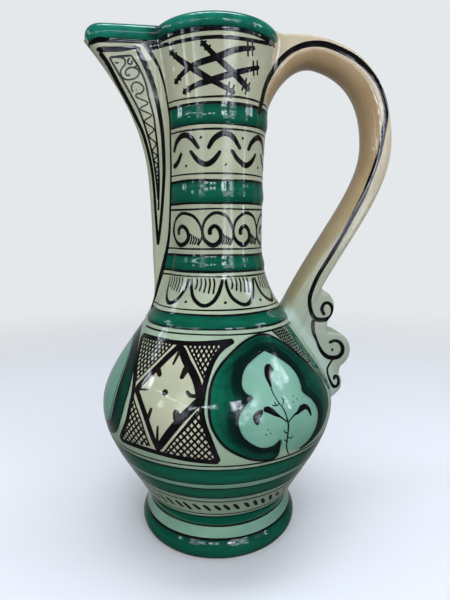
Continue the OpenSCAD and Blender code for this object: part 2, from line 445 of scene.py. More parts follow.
def buildHandle():
    made = loftGrid("handle_strap", [strapRing(q) for q in steps(0, 2, 120)])
    outline = [tuple(strapAt(1.7))]
    for x, z, r, start, end in strap["lobes"]:
        outline += [(x + r * math.cos(a), z + r * math.sin(a)) for a in map(math.radians, steps(start, end, 20))]
    outline += [(62, 85), tuple(strapAt(2))]
    half = strap["scroll"] / 2
    plate = loftGrid("plate", [[(x, y, z) for x, z in outline] for y in steps(-half, half, 8)])
    joinClay(made, plate, "UNION")
    top, rim = thrown["wallTop"], beak["rimMiddle"] + 2
    core = [(0, 30)] + [(plainRadius(z) - 1.6, z) for z in steps(30, top, 60)]
    core += [(rim, top), (rim, top + 30), (0, top + 30)]
    inside = turnOnWheel("inside", core, 120)
    joinClay(made, inside, "DIFFERENCE")  # what would stand inside the neck
    meldClay(made, 0.8, 14)
    for v in made.data.vertices:  # the luted clay is wiped out in a fillet where the strap meets the body
        x, y, z = v.co / mm
        r = math.hypot(x, y)
        z = onSlope(z)
        height = max(0, (r - plainRadius(z)) / math.hypot(1, wallSlope(z)))
        reach = strap["lowFillet"] if z < 200 else strap["topFillet"]
        if height < reach and abs(y) > 0.5:
            spread = reach - math.sqrt(reach ** 2 - (reach - height) ** 2)
            turn = math.atan2(y, x) + math.copysign(spread / r * easeIn(2, 9, abs(y)), y)
            v.co.x, v.co.y = r * math.cos(turn) * mm, r * math.sin(turn) * mm
    made.data.update()
    return made


footRoll, bellyBowl, bellyCrown, neckTube = buildThrown()
beakPiece = buildBeak(neckTube)
rolledRim = buildRim()
handleStrap = buildHandle()
print("clay pieces modelled")


# brushwork: every stroke is a thin raised ribbon of pigment laid on the clay


strokeLift = dict(edge=0.04, crown=0.025, skirt=0.1)  # mm: over the clay, more in the middle, sunk at the sides


def castTree(*pieces):
    points, faces = [], []
    for piece in pieces:
        first = len(points)
        points += [v.co / mm for v in piece.data.vertices]
        faces += [[first + i for i in p.vertices] for p in piece.data.polygons]
    return BVHTree.FromPolygons(points, faces)


def roundGround(tree):
    # strokes placed by degrees round the axis and height
    def place(a, z):
        out = Vector((math.cos(math.radians(a)), math.sin(math.radians(a)), 0))
        up = Vector((0, 0, z))
        hit, normal = tree.ray_cast(out * 130 + up, -out)[:2]
        if hit and hit.dot(out) > 0:
            return hit, normal
        return tree.find_nearest(out * wallAt(z) + up)[:2]

    def scale(z):
        return math.radians(wallAt(z)), math.hypot(1, wallSlope(z)) if z == onSlope(z) else 1

    return place, scale


def flankGround(tree, side):
    # strokes placed by x and z on the flank that faces -Y or +Y
    def place(x, z):
        hit, normal = tree.ray_cast(Vector((x, side * 70, z)), Vector((0, -side, 0)))[:2]
        return (hit, normal) if hit else tree.find_nearest(Vector((x, side * 12, z)))[:2]

    return place, lambda z: (1, 1)


def curveThrough(points):
    # smooth line through listed points, each with its width as a third number
    p = [np.array(q, float) for q in points]
    if len(p) == 2:
        return [p[0] + (p[1] - p[0]) * t for t in steps(0, 1, 8)]
    line = []
    for i in range(len(p) - 1):
        a, b, c, d = (p[min(max(j, 0), len(p) - 1)] for j in range(i - 1, i + 3))
        for t in steps(0, 1, 8)[:-1]:
            line.append(0.5 * (2 * b + (c - a) * t + (2 * a - 5 * b + 4 * c - d) * t * t
                               + (3 * b - a - 3 * c + d) * t ** 3))
    return line + [p[-1]]


def brush(paint, ground, points, width=None, step=1.1):
    place, scale = ground
    line = curveThrough([(*q, width) if len(q) == 2 else q for q in points])
    run = [0]
    for a, b in zip(line, line[1:]):
        kx, kz = scale(a[1])
        run.append(run[-1] + math.hypot((b[0] - a[0]) * kx, (b[1] - a[1]) * kz))
    total = run[-1]
    widest = max(q[2] for q in line)
    at = set(np.linspace(0, total, max(4, round(total / step)) + 1))
    for reach in (0.02, 0.12, 0.3):  # rounded tips of the brush
        at |= {widest * reach, total - widest * reach}
    at = [d for d in sorted(at) if 0 <= d <= total]
    track = np.stack([np.interp(at, run, [q[i] for q in line]) for i in range(3)], axis=1)
    columns = 3 if widest < 1.4 else 5 if widest < 3 else 7
    rings = []
    for i, (a, z, w) in enumerate(track):
        kx, kz = scale(z)
        low, high = track[max(i - 1, 0)], track[min(i + 1, len(track) - 1)]
        dx, dz = (high[0] - low[0]) * kx, (high[1] - low[1]) * kz
        size = math.hypot(dx, dz) or 1
        dx, dz = dx / size, dz / size
        tip = min(at[i], total - at[i]) / (w / 2)
        half = w / 2 * math.sqrt(max(0.02, 1 - (1 - min(1, tip)) ** 2))
        ring = []
        for e in steps(-1, 1, columns - 1):
            hit, normal = place(a - dz * e * half / kx, z + dx * e * half / kz)
            if hit is None:
                return
            ring.append(hit + normal * (strokeLift["edge"] + strokeLift["crown"] * (1 - e * e)))
            if abs(e) == 1:
                skirt = hit - normal * strokeLift["skirt"]
                ring = [skirt] + ring if e < 0 else ring + [skirt]
        rings.append(ring)
    corners, faces = paint
    first, wide = len(corners), columns + 2
    corners.extend(corner for ring in rings for corner in ring)
    for i in range(len(rings) - 1):
        for j in range(wide):
            here, k = first + i * wide, (j + 1) % wide
            faces.append([here + j, here + k, here + wide + k, here + wide + j])
    faces.append([first + j for j in range(wide)][::-1])
    faces.append([first + (len(rings) - 1) * wide + j for j in range(wide)])


def layPaint(name, paint):
    mesh = bpy.data.meshes.new(name)
    mesh.from_pydata([p * mm for p in paint[0]], [], paint[1])
    made = bpy.data.objects.new(name, mesh)
    bpy.context.scene.collection.objects.link(made)
    closeUp(made, weld=False)
    smoothShade(made, 50)
    return made


def ringLine(paint, ground, z, width, reach=None):
    # a line round the wheel, or one that stops at the strip beside the beak
    sway = [hand.uniform(-1, 1) for _ in range(4)]

    def point(a):
        t = math.radians(a)
        lift = 0.2 * (sway[0] * math.sin(2 * t + 3 * sway[1]) + sway[2] * math.sin(5 * t + 3 * sway[3]))
        return a, z + lift, width * (1 + 0.16 * math.sin(3 * t + 5 * sway[1]))

    if reach is None:
        brush(paint, ground, [point(a) for a in steps(-180, 180, 72)[:-1]], step=1.8)
        brush(paint, ground, [point(a) for a in (174.6, 177.5, 180.5)], step=1.8)
    else:
        brush(paint, ground, [point(a) for a in steps(-reach, reach, 60)], step=1.6)


# painted panels of the belly, by degrees from the middle of the panel and height

lozenge = dict(
    top=((-37, 135.4), (-16.5, 135.7), (-4.2, 135.5), (6, 135.6), (16, 136), (35.6, 137.2)),
    right=((35.6, 137.2), (28, 133.6), (22.8, 128), (19.6, 119), (18.3, 110), (18.4, 103), (19.7, 97), (21.8, 90),
           (25.2, 76.8)),
    left=((-37, 135.4), (-30.4, 128.8), (-22, 116.4), (-18.4, 109), (-17.2, 102), (-17.8, 91), (-23.6, 78.4)),
    bottom=((-23.6, 78.4), (-12.2, 79.4), (-5.9, 79.4), (0, 79.2), (7.2, 78.5), (14.2, 77.7), (25.2, 76.8)), frame=3,
    sides=(((1, 133.9, 3.6), (-4.4, 127.7, 4), (-8.5, 122.2, 4), (-12.4, 116.5, 4), (-16.9, 109.9, 3.6)),
           ((1, 134, 4), (4.3, 131.4, 4.8), (8.5, 126.3, 4.9), (12.9, 121.3, 4.6), (15.6, 116.3, 4.6),
            (17.5, 109.8, 4.8)),
           ((17.5, 109.8, 4.6), (14.4, 105.9, 4.6), (10, 100.2, 4.8), (6.4, 94.2, 4.8), (2.7, 87.4, 4.4),
            (-0.2, 81.8, 3.6)),
           ((-16.9, 109.9, 3.2), (-14, 107.3, 3.2), (-9.6, 102.1, 3.2), (-6.2, 96.7, 3.2), (-3.8, 91.4, 3.2),
            (-1.7, 85.6, 3.4), (-0.2, 81.8, 3.4))),
    tips=(((17.1, 112.2, 5.4), (17.8, 107.4, 5.4)), ((-0.5, 84.4, 4.6), (0, 80.4, 4.6)),
          ((0.7, 135, 4.6), (1.3, 131.8, 4.6)), ((-17.6, 109.8, 3.8), (-15.6, 110.2, 3.8))),
    rims=(((-3.1, 135.3), (-11.3, 124.8), (-19.1, 113.4)), ((5.6, 135.6), (13.1, 127.1), (19, 118)),
          ((16.7, 104.4), (10.3, 93.8), (2.5, 80.3)), ((-17.4, 106.2), (-9, 95.2), (-4.2, 82))),
    rimWidth=1.2, waist=109, lattice=2.7, thread=1.2,
    spikes=(((2.4, 131.8, 2.4), (0.5, 124.6, 1.3)), ((-9, 123, 4.2), (-4.6, 118.3, 2.6)),
            ((9, 124.6, 4.4), (6.8, 118.4, 2.4)), ((16.2, 111.1, 2), (12.8, 111.2, 2.3), (10.6, 113.3, 1.9)),
            ((-4.7, 103, 2), (-6, 95.8, 2.6)), ((-0.3, 94.8, 1.2), (-0.3, 83.6, 2.2)),
            ((6.7, 104, 3), (8.6, 98.4, 5.8)), ((-16.6, 110.2, 2.4), (-9.3, 111.1, 1.1)),
            ((0, 109.9, 3.7), (0.6, 112.9, 3.7))),
)
lozengeSpots = ((-120, 1), (120, -1))  # degrees, which way round
palmette = dict(
    outer=((-9, 80.5), (-9.8, 76), (-13.6, 74.7), (-20.4, 76.6), (-26.9, 80.9), (-32.3, 86.3), (-36.2, 93.5),
           (-38.2, 100.1), (-38.7, 108), (-38.1, 115.7), (-35.4, 122.6), (-29.8, 128.8), (-19.7, 135.4),
           (-8.3, 138.7), (1.3, 138), (11, 132.6), (19.7, 123.4), (26.9, 112.6), (30.6, 104.1), (30.4, 96),
           (26, 88.6), (19.9, 81.7), (11.4, 77), (3.4, 75.4)),
    inner=((-9, 80.5), (-8.6, 85.4), (-10, 84.2), (-12.7, 82.6), (-17.2, 82.8), (-21.5, 86), (-24.9, 90.2),
           (-26.8, 95.6), (-26.5, 101.3), (-23.6, 106.3), (-19.4, 109.3), (-22.2, 111.4), (-23.8, 114.6),
           (-23.3, 119.4), (-20, 124.6), (-13.3, 128.6), (-6.1, 131.1), (0.7, 127), (6.6, 122), (9.4, 116.4),
           (9.4, 111), (8.5, 106.9), (13, 101.8), (15.7, 95.4), (15.4, 89), (12.9, 83.1), (9, 78.4), (3.4, 75.4)),
    cusps=(0, 10, 16, 21, 27),  # points of the inner line where its lobes meet
    stem=((-3.2, 74.6, 0.8), (-5.2, 80.5, 0.9), (-5, 87.5, 1), (-4.4, 93, 1.2), (-4.7, 97, 0.9), (-5.5, 101.4, 0.8),
          (-7.6, 105.9, 0.7), (-9.1, 110.4, 0.7), (-9.3, 113.6, 0.8)),
    bud=((-9.3, 113, 1), (-9.2, 114.7, 2), (-9.3, 118.1, 3.4), (-8.4, 120.6, 4.8), (-6.9, 122.3, 5.6),
         (-5.5, 123.7, 4.2)),
    leaves=(((-4.8, 94.7, 0.8), (-7.7, 98, 1.1), (-9.6, 99.7, 2.2), (-11.8, 101.9, 3.5), (-13.7, 103.1, 3.4),
             (-15.4, 102.8, 2)),
            ((-15.7, 103.2, 1.4), (-17.2, 101.8, 3.6), (-18.9, 99.8, 4.2), (-18.6, 96.1, 2)),
            ((-4, 94.5, 0.8), (-0.8, 97, 1), (1.8, 97.8, 2), (4.3, 99.2, 3.4), (7.3, 99.2, 3.1), (9.2, 96.7, 2.6),
             (9.9, 93, 1.4))),
    sprigs=(((-6.8, 105), (-8.8, 104), (-10.8, 104.6)), ((-8.8, 104), (-9.4, 106)), ((-5, 107.4), (-4.6, 105.4),
            (-5.8, 103.4)), ((-4.8, 86), (-3.4, 85), (-2, 85.8)), ((-4.9, 88.6), (-6.4, 89.4), (-6.8, 91)),
            ((-4.6, 83.4), (-6, 84.2), (-6.6, 85.6))),
    dots=((1.6, 106.6), (3.2, 104.4), (0.6, 103.6), (-14.2, 92.8), (-13.2, 90.6), (-15.2, 90.2)),
    outerWidth=1.5, innerWidth=1.05, sprigWidth=0.7, dotWidth=1,
)
palmetteSpots = ((-60, 1), (60, -1))
beakPanel = dict(  # plainer panel under the beak, one half by degrees from its middle
    middle=180,
    strokes=(("outer", 1, 1.5), ("inner", 1, 1.2), ("inner", 0.93, 0.8)),  # line, how far out, width
    outer=((0, 138.6), (9, 137.8), (16.8, 135.2), (24, 130.6), (29.6, 125.3), (34.3, 119), (36.8, 112.8),
           (38.2, 107.2), (38.4, 101.9), (38, 94.1), (34.4, 84), (26, 78), (14, 75.2), (0, 74.6)),
    inner=((0, 132), (11, 130.6), (19.4, 127), (24.4, 121.6), (27.6, 114), (29.4, 106.7), (30.2, 99.8), (30.2, 92.6),
           (27.6, 86), (20, 81.6), (10, 79.6), (0, 79)),
)
collar = dict(  # wiped strip where the tail of the handle meets the belly, by degrees from the handle
    border=((-35.2, 140), (-34.2, 131), (-32.9, 122), (-30.5, 112), (-26.4, 103.4), (-21, 95.4), (-12, 85.6)),
    lattice=((-54, 140.2), (-49.3, 134.8), (-45.2, 130.3), (-41.2, 125.7), (-36.8, 120.4), (-31.8, 114.4),
             (-33.7, 120.6), (-34.6, 127.4), (-35.8, 133.6), (-36.8, 140)),
    spacing=2, thread=0.95, edgePoints=6, edgeWidth=0.9, borderWidth=1.6,
    greenOff=3.2, greenWidth=4.8, innerOff=5.8, innerDrop=0.4, innerWidth=1.5,
)
panelScale = (1.18, 1.12)  # mm to a degree and to a mm of height, about the middle of the belly


def insideDistance(a, z, outline):
    # signed distance in mm from points to a closed outline, positive inside
    x, y = np.asarray(a) * panelScale[0], np.asarray(z) * panelScale[1]
    edge = np.array(outline, float) * panelScale
    away = np.full(x.shape, 1e9)
    inside = np.zeros(x.shape, bool)
    for (x0, y0), (x1, y1) in zip(edge, np.roll(edge, -1, axis=0)):
        dx, dy = x1 - x0, y1 - y0
        t = np.clip(((x - x0) * dx + (y - y0) * dy) / (dx * dx + dy * dy + 1e-12), 0, 1)
        away = np.minimum(away, np.hypot(x - x0 - t * dx, y - y0 - t * dy))
        crosses = (y0 > y) != (y1 > y)
        inside ^= crosses & (x < x0 + (y - y0) * dx / (dy if dy else 1e-12))
    return np.where(inside, away, -away)


def outlineOf(*lines):
    return [tuple(q[:2]) for line in lines for q in curveThrough([(*p[:2], 1) for p in line])]


def widened(points, factor):
    return [(p[0] * factor, *p[1:]) for p in points]


def bothHalves(half):
    return list(half) + [(-a, z) for a, z in half[-2::-1]]


def placed(points, middle, side):
    # a motif set round the body; side -1 mirrors it for the far half
    return [(side * p[0] + middle, *p[1:]) for p in points]


def lattice(paint, ground, outline, middle, side, spacing, width):
    # crossed threads of the brush inside an outline
    kx, kz = 1.12, 1.2
    xs, zs = [p[0] * kx for p in outline], [p[1] * kz for p in outline]
    for angle in (57, 123):
        c, s = math.cos(math.radians(angle)), math.sin(math.radians(angle))
        reach = [-s * x + c * z for x, z in zip(xs, zs)]
        k = math.ceil(min(reach) / spacing) * spacing
        while k < max(reach):
            along = np.arange(-220, 220, 0.4)
            offset = k + hand.uniform(-0.12, 0.12)
            a, z = (c * along - s * offset) / kx, (s * along + c * offset) / kz
            keep = insideDistance(a, z, outline) > 0.1
            start = None
            for i in range(len(keep)):
                if keep[i] and start is None:
                    start = i
                if start is not None and (not keep[i] or i == len(keep) - 1):
                    if i - start > 4:
                        ends = [(a[start], z[start]), (a[i - 1], z[i - 1])]
                        brush(paint, ground, placed(ends, middle, side), width, step=1.6)
                    start = None
            k += spacing


def paintBelly(black, brown, green, ground):
    def stroke(paint, line, width=None):
        brush(paint, ground, placed(line, middle, side), width)

    for middle, side in lozengeSpots:
        z = lozenge
        for edge in ("top", "right", "left", "bottom"):
            stroke(black, z[edge], z["frame"])
        for line in z["sides"] + z["tips"]:
            stroke(black, line)
        for edge, rim in zip(("left", "right", "right", "left"), z["rims"]):
            stroke(black, rim, z["rimWidth"])
            upper = rim[1][1] > z["waist"]
            flank = [c for c in outlineOf(z[edge]) if (c[1] > z["waist"]) == upper]
            flank.sort(key=lambda c: -abs(c[1] - z["waist"]))
            across = sorted(rim, key=lambda c: abs(c[1] - z["waist"]))
            lattice(black, ground, flank + across, middle, side, z["lattice"], z["thread"])
        for line in z["spikes"]:
            stroke(brown, line)

        # narrow lattice and the double line beside the handle's tail
        middle, c = 0, collar
        lattice(black, ground, c["lattice"], middle, side, c["spacing"], c["thread"])
        stroke(black, c["lattice"][:c["edgePoints"]], c["edgeWidth"])
        stroke(black, c["border"], c["borderWidth"])
        stroke(green, [(a + c["greenOff"], h) for a, h in c["border"]], c["greenWidth"])
        stroke(black, [(a + c["innerOff"], h - c["innerDrop"]) for a, h in c["border"]], c["innerWidth"])

    middle, side = beakPanel["middle"], 1
    for line, out, width in beakPanel["strokes"]:
        stroke(black, bothHalves(widened(beakPanel[line], out)), width)
    for middle, side in palmetteSpots + ((beakPanel["middle"], 1),):
        p = palmette
        if middle != beakPanel["middle"]:
            stroke(black, p["outer"], p["outerWidth"])
            for first, last in zip(p["cusps"], p["cusps"][1:]):
                stroke(black, p["inner"][first:last + 1], p["innerWidth"])
        for line in (p["stem"], p["bud"], *p["leaves"]):
            stroke(black, line)
        for twig in p["sprigs"]:
            stroke(black, twig, p["sprigWidth"])
        for a, h in p["dots"]:
            stroke(black, ((a - 0.25, h), (a + 0.25, h + 0.2)), p["dotWidth"])


# painted rows of the neck

neckRows = dict(
    stars=(((-17, 301.4), (-3.5, 293), (13.6, 285.4), (30.6, 278)),
           ((-48, 282.6), (-28.6, 289), (-3.5, 293.2), (12.5, 297.2), (32.7, 300.2)),
           ((-49, 300), (-40, 294.6), (-25.4, 288.2), (-8.6, 282), (14.6, 275.6)),
           ((-38.8, 276.6), (-23.3, 279.8), (-6.6, 282.2), (13.6, 286), (41, 291.6))),
    wave=((-18.6, 245.6, 2.2), (-12.4, 251, 3), (-2, 254.2, 3.3), (8, 252.6, 3.1), (18, 245.8, 2.1)),
    trough=((-39.6, 245.6, 2), (-31.2, 240, 2.9), (-21.2, 237.2, 3.2), (-12.2, 239.6, 3), (-4.8, 244.8, 1.9)),
    waves=7, waveFirst=-130.9, waveGap=46.2, waveDots=((20, 252.2), (0.8, 237.1)),
    scroll=((32, 190.2, 1), (35.9, 195.7, 1.3), (35.2, 200.2, 1.5), (32.1, 204.6, 1.7), (26.2, 208.1, 1.9),
            (14.9, 209.5, 2), (4.8, 206.1, 1.8), (0.7, 201.7, 1.7), (0, 197.3, 1.9), (3.2, 193.2, 2.3),
            (11.7, 190.4, 2.9), (19.6, 192.5, 2.9), (21.8, 196.2, 2.7), (19, 200.2, 2.6), (13.6, 201.8, 2.5),
            (8.9, 199.5, 2.6), (9.2, 196.4, 2.9)),
    scrollWidth=36.2, scrollEdges=(-157.5, -111.2, -75, -37, 1, 39, 77, 115, 153),
    arch=((-16.6, 170.6, 1.6), (-15.4, 165, 2), (-11, 159.2, 2.3), (-2, 155.4, 2.5), (6, 156.8, 2.5), (12.4, 162, 2.4),
          (17.4, 170.4, 2)),
    arches=9, archFirst=-143, archGap=37,
    underRim=((-70.5, 304.2), (-61.8, 304.2), (-41.2, 302.7), (-19.3, 302.6), (-0.2, 302.9), (23.2, 303.2),
              (40, 304.3), (55.8, 306)),
    starSpots=((-90, 1), (90, -1)), starWidths=(2.3, 3.1, 3.6, 3.2, 2.3), barbs=(2, 5), barbWidth=1.2, degree=0.62,
    underRimWidth=2, edgeWidth=1.4, dotWidth=2, scrollTick=1.05, archTick=1.15,
    rings=((140.1, 1.1), (142.8, 1.2), (150.3, 1.2), (152.9, 1), (171.8, 1), (174.6, 1.5), (184.4, 1.3), (188.2, 1.1),
           (211.8, 1.1), (215.2, 1.3), (228.4, 1.3), (232.1, 1), (256.6, 1.1), (259.4, 0.8), (270.4, 1.7),
           (273.7, 1.1)),
    rimLine=306.5, rimLineWidth=1.8, rimLineEdge=307,
)


def paintNeck(black, ground):
    n = neckRows
    for z, width in n["rings"]:
        ringLine(black, ground, z, width, edgeAt(z))
    ringLine(black, ground, n["rimLine"], n["rimLineWidth"], edgeAt(n["rimLineEdge"]))
    for middle, side in n["starSpots"]:  # crossed strokes with barbs under the rim
        for line in n["stars"]:
            wide = [(a, z, w) for (a, z), w in zip(line, n["starWidths"])]
            brush(black, ground, placed(wide, middle, side))
            for (a, z), (b, y) in ((line[0], line[1]), (line[-1], line[-2])):
                da, dz = (b - a), (y - z)
                size = math.hypot(da * n["degree"], dz)
                da, dz = da / size, dz / size
                for k in n["barbs"]:
                    ca, cz = a + da * k, z + dz * k
                    tick = ((ca + dz * 4.2, cz - da * 1.9 + 1), (ca - dz * 4.2, cz + da * 1.9 - 1))
                    brush(black, ground, placed(tick, middle, side), n["barbWidth"])
        brush(black, ground, placed(n["underRim"], middle, side), n["underRimWidth"])
        brush(black, ground, [(-side * a, z) for z, a in lineEdge], n["edgeWidth"])
    for i in range(n["waves"]):  # waves, troughs and dots, cut short beside the beak
        middle = n["waveFirst"] + n["waveGap"] * i
        last = i == n["waves"] - 1
        brush(black, ground, placed(n["wave"][:3] if last else n["wave"], middle, 1))
        brush(black, ground, placed(n["trough"] if i else n["trough"][2:], middle, 1))
        for a, z in n["waveDots"][last:]:
            brush(black, ground, [(a + middle - 0.9, z + 0.4), (a + middle + 0.9, z - 0.6)], n["dotWidth"])
    for left, right in zip(n["scrollEdges"], n["scrollEdges"][1:]):  # running scrolls, a few ticks behind each
        wide = (right - left) / n["scrollWidth"]
        brush(black, ground, placed(widened(n["scroll"], wide), left, 1))
        for k in range(4):
            a = left + (24.2 + 2.5 * k) * wide
            tick = [(a, 197.4 - 0.9 * k), (a + 1.4, 194.4 - 0.5 * k), (a - 1.6, 190.8)]
            brush(black, ground, tick, n["scrollTick"])
    for i in range(n["arches"]):  # hanging arches, ticks inside and dots between
        middle = n["archFirst"] + n["archGap"] * i
        brush(black, ground, placed(n["arch"], middle, 1))
        for k in range(5):
            a = middle - 10.6 + 4.6 * k
            end = 164.2 - 1.1 * k + 0.12 * k * k
            brush(black, ground, [(a, 171), (a + 1, 167.6), (a - 0.4, end)], n["archTick"])
        a = middle + 18.6
        brush(black, ground, [(a - 0.8, 157.6), (a + 0.8, 156.4)], n["dotWidth"])


footRows = dict(
    rings=((12.2, 1.2), (19.8, 1.3), (28.4, 1.1), (31, 0.9), (43.4, 1.2), (47.2, 1), (56, 0.9), (60, 0.8), (71, 1.1),
           (73.8, 1.1)),
    dashes=60, dashTop=40.4, dashLow=34.4, slant=2,
)


def paintFoot(black, ground):
    f = footRows
    for z, width in f["rings"]:
        ringLine(black, ground, z, width)
    for i in range(f["dashes"]):  # slanted dashes
        a = -180 + 360 // f["dashes"] * i + hand.uniform(-0.6, 0.6)
        top, low = f["dashTop"] + hand.uniform(-0.5, 0.5), f["dashLow"] + hand.uniform(-0.6, 0.6)
        brush(black, ground, [(a - f["slant"], top, 1.8), (a, (top + low) / 2, 2.5), (a + f["slant"], low, 1.7)])


# lines on the beak and handle, by x and z on each flank

beakLines = dict(
    bar=((-71, 305.4, 1.6), (-67, 305, 2.9), (-61.6, 304.8, 2.9), (-56.8, 304.7, 2.8), (-46.8, 305.3, 2)),
    outer=((-46.8, 305.4, 2.6), (-44.5, 300.4, 3), (-41.1, 293, 3), (-37.7, 283.4, 2.8), (-35.8, 275.1, 2.6),
           (-34.2, 265.3, 2.4), (-33.3, 256.8, 2.3), (-32.9, 245.9, 2.2), (-33, 234.9, 2.1), (-33.9, 223.6, 2),
           (-35, 212.2, 1.9), (-36.5, 200.5, 1.8), (-38.1, 190.2, 1.6)),
    keel=((-69.2, 304, 2.2), (-64.7, 297.7, 2.4), (-59.1, 287, 2.4), (-54.3, 277.9, 2.2), (-49.4, 267.9, 2),
          (-45.8, 259.8, 2), (-43.4, 251.7, 1.9), (-41.1, 240.6, 1.8), (-39.7, 227.7, 1.7), (-39.1, 212.3, 1.7),
          (-38.5, 198.1, 1.7), (-38.1, 190.2, 1.6)),
    left=((-63.4, 300.6), (-57, 289.9), (-50.8, 278.8), (-46.6, 270.3), (-43.3, 260.3), (-40.9, 250.8), (-39, 239.7),
          (-37.7, 227.6), (-37.2, 218.4)),
    right=((-50.3, 301.2), (-46.2, 294.6), (-42.8, 287.1), (-40.6, 276.8), (-38.3, 267.7), (-37.5, 259.2),
           (-36.6, 249.8), (-36.3, 239.5), (-36.4, 227.5), (-37.2, 212)),
    lip=((-76.2, 308.6, 1.8), (-73.5, 309, 2.2), (-69.5, 309.6, 2.4), (-65.9, 309.6, 2.4), (-58.2, 309.2, 2.4),
         (-50.7, 308.6, 2.3), (-44.9, 308.1, 2.2), (-40, 307.9, 2)),
    vine=((-62.6, 300.4), (-59.3, 300.6), (-55.7, 300.1), (-54.1, 298.6), (-54.3, 296.5), (-56, 295), (-57.2, 293),
          (-56.6, 290.4), (-54.5, 288.7), (-51.2, 288.5), (-47.9, 289.4), (-46.1, 291.5), (-46.7, 293.5),
          (-49.2, 294.7), (-52.1, 294.6), (-54, 293.3), (-54.1, 291.4), (-52.8, 290.5), (-51.6, 291.3)),
    bud=((-51.3, 299.9), (-52.6, 298.5), (-52.3, 296.9), (-50.8, 296.5), (-49.9, 297.5), (-50.7, 298.4)),
    twig=((-49.8, 299.4), (-48.1, 297.5), (-47, 295.7), (-48.8, 294.9)),
    touch=((-60.1, 298.5), (-59.3, 297.5), (-57.9, 297.9)),
    curl=((-50.2, 281.5), (-51.2, 284.1), (-49.9, 286.6), (-47.2, 286.8), (-44.5, 284.9), (-43.7, 283), (-45.3, 280.9),
          (-48.3, 280.5), (-48.7, 279.1), (-46.7, 278)),
    seed=((-48.5, 283), (-47.9, 282.6)),
    weave=(275.1, 272.3, 268.4, 265.3, 260.3, 256.8, 252, 248, 245.1, 242.5, 239.5, 237, 234.5, 232, 229.5, 227),
)
handleLines = dict(
    flank=((23.5, 267, 1.6), (24.7, 270.8, 1.8), (26, 275.6, 1.9), (27.3, 280.8, 1.9), (29.4, 286.4, 1.9),
           (31.3, 290, 2), (33, 292.9, 2), (36.4, 298.1, 2.1), (40.8, 303, 2.2), (45.1, 306.3, 2.3), (49.4, 308.5, 2.4),
           (54.3, 310.2, 2.5), (61.1, 311, 2.6), (68.7, 310.3, 2.6), (79.6, 306.6, 2.7), (87.4, 302.6, 2.7),
           (93.7, 297.6, 2.6), (99.5, 291.4, 2.5), (103.1, 286.2, 2.5), (105.5, 280.3, 2.4), (106.9, 275, 2.4),
           (107.1, 269, 2.3), (106, 260.5, 2.3), (104.5, 249.5, 2.2), (101.6, 239, 2.2), (97.4, 227.7, 2.1),
           (93.7, 218.9, 2.1), (80.4, 193.6, 2), (67.5, 172.4, 2), (64.6, 166.7, 2), (62.2, 160.9, 2)),
    first=((66, 169.6, 2), (64.6, 166.7, 2), (62.2, 160.9, 2), (60.7, 155.2, 2), (60.8, 149.6, 2), (62.7, 143.8, 2.1),
           (65.3, 140.3, 2.2), (69.4, 139.6, 2.2), (73.4, 140.1, 2.1), (76.3, 142.5, 1.9), (76.8, 146.2, 1.7),
           (75.7, 149.4, 1.6), (73, 151.1, 1.6), (70.5, 150.1, 1.6), (69.4, 147, 1.7), (70.4, 144.1, 1.8),
           (71.8, 143, 1.9)),
    second=((63.9, 139.8, 1.8), (63.5, 135.3, 2), (64.4, 130.2, 1.7), (66.4, 125.6, 1.2), (67.9, 121.6, 1.5),
            (70.2, 117.5, 1.9), (73.4, 114.4, 2.1), (77.1, 113.1, 2.2), (81.2, 113.4, 2.2), (84, 115.6, 2.2),
            (84.8, 119.1, 2), (83.5, 122.6, 1.8), (81.4, 124.4, 1.6), (78.4, 125, 1.5), (75.9, 124, 1.7),
            (75.3, 123.2, 1.7)),
    third=((78, 112.1, 0.9), (76.1, 109.1, 1), (74, 105.6, 1.2), (74.1, 102, 1.3), (75.7, 97.8, 1.5), (78, 94, 1.7),
           (79.9, 92.6, 1.7), (82, 93.4, 1.6), (82.6, 96.3, 1.4), (81.9, 99, 1.4), (80.3, 100.3, 1.4),
           (79.3, 99.4, 1.5), (79.9, 97.5, 1.6)),
    dot=((76.6, 118.5, 1.5), (78.4, 118.7, 1.6)),
)
flankWidths = dict(edges=1.2, bar=1.3, vine=1, weave=0.85, handle=1.4)  # the last is a factor


def paintFlanks(black, beakTree, lipTree, handleTree):
    b, wide = beakLines, flankWidths
    for side in (-1, 1):
        ground = flankGround(beakTree, side)
        for line in ("bar", "outer", "keel"):
            brush(black, ground, b[line])
        brush(black, flankGround(lipTree, side), b["lip"])
        for line in ("left", "right"):
            brush(black, ground, b[line], wide["edges"])
        brush(black, ground, (b["left"][0], b["right"][0]), wide["bar"])
        for line in ("vine", "bud", "twig", "touch", "curl", "seed"):
            brush(black, ground, b[line], wide["vine"])
        weave = [b["curl"][-1]]
        for i, z in enumerate(b["weave"]):  # zigzag down the narrow end
            left, right = (np.interp(-z, [-q[1] for q in b[k]], [q[0] for q in b[k]]) for k in ("left", "right"))
            weave.append((left * 0.86 + right * 0.14 if i % 2 else left * 0.14 + right * 0.86, z))
        brush(black, ground, weave, wide["weave"], step=0.7)
        ground = flankGround(handleTree, side)
        for line in handleLines.values():
            brush(black, ground, [(x, z, w * wide["handle"]) for x, z, w in line], step=0.9)


def painted(name, painter, *grounds):
    paint = ([], [])
    painter(paint, *grounds)
    return layPaint(name, paint)


